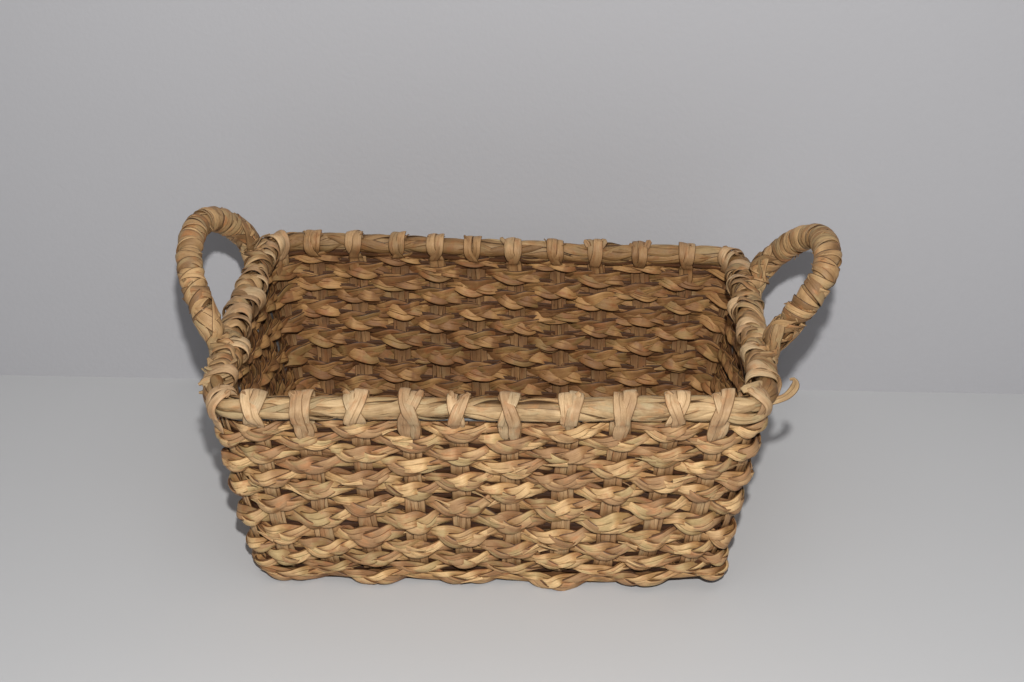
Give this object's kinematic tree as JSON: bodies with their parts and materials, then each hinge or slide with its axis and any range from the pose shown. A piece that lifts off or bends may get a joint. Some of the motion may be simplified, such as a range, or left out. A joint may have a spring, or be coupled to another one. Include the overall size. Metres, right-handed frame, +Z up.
{
  "type": "bread basket",
  "caption": "Open rectangular bread basket of plaited leaf rope with tapered walls, a wrapped rim and an outward-leaning loop handle on each short side.",
  "frame": {"origin": "centre of the whole outline seen from above, both handles included, on the plane the basket rests on", "axes": "+X along the length towards the taller handle, +Y towards the back long wall, +Z up"},
  "size_m": [0.4796, 0.269, 0.2334],
  "materials": {
    "leaf_plait": "dry plaited leaf, matt with a slight waxy sheen on the strands",
    "leaf_plait_base": "dry plaited leaf, a little darker inside the basket",
    "leaf_stake": "flat dry leaf strips, matt, greyer than the plaits",
    "leaf_rim": "bundle of lengthwise dry leaf, matt",
    "leaf_handle": "wound dry leaf strip with dark overlaps, matt",
    "leaf_binding": "wound dry leaf strip, matt",
    "galvanised_wire": "dull grey zinc"
  },
  "bodies": {
    "root": {"base_weaver_01": "leaf_plait_base", "base_weaver_02": "leaf_plait_base", "base_weaver_03": "leaf_plait_base", "base_weaver_04": "leaf_plait_base", "base_weaver_05": "leaf_plait_base", "base_weaver_06": "leaf_plait_base", "base_weaver_07": "leaf_plait_base", "base_weaver_08": "leaf_plait_base", "base_weaver_09": "leaf_plait_base", "base_weaver_10": "leaf_plait_base", "corner_stake_back_left": "leaf_stake", "corner_stake_back_right": "leaf_stake", "corner_stake_front_left": "leaf_stake", "corner_stake_front_right": "leaf_stake", "cross_stake_01": "leaf_stake", "cross_stake_02": "leaf_stake", "cross_stake_03": "leaf_stake", "cross_stake_04": "leaf_stake", "cross_stake_05": "leaf_stake", "cross_stake_06": "leaf_stake", "cross_stake_07": "leaf_stake", "cross_stake_08": "leaf_stake", "cross_stake_09": "leaf_stake", "cross_stake_10": "leaf_stake", "end_stake_01": "leaf_stake", "end_stake_02": "leaf_stake", "end_stake_03": "leaf_stake", "end_stake_04": "leaf_stake", "end_stake_05": "leaf_stake", "end_stake_06": "leaf_stake", "handle_lashing_left_back": "leaf_binding", "handle_lashing_left_front": "leaf_binding", "handle_lashing_right_back": "leaf_binding", "handle_lashing_right_front": "leaf_binding", "handle_left_core": "leaf_handle", "handle_left_wire": "galvanised_wire", "handle_left_wrap": "leaf_handle", "handle_right_core": "leaf_handle", "handle_right_wire": "galvanised_wire", "handle_right_wrap": "leaf_handle", "rim_binding_left": "leaf_binding", "rim_binding_right": "leaf_binding", "rim_roll": "leaf_rim", "rim_wire": "galvanised_wire", "weaver_row_01": "leaf_plait", "weaver_row_02": "leaf_plait", "weaver_row_03": "leaf_plait", "weaver_row_04": "leaf_plait", "weaver_row_05": "leaf_plait", "weaver_row_06": "leaf_plait", "weaver_row_07": "leaf_plait", "weaver_row_08": "leaf_plait", "weaver_row_09": "leaf_plait", "weaver_row_10": "leaf_plait", "weaver_row_11": "leaf_plait", "weaver_row_12": "leaf_plait", "weaver_row_13": "leaf_plait"}
  },
  "joints": []
}
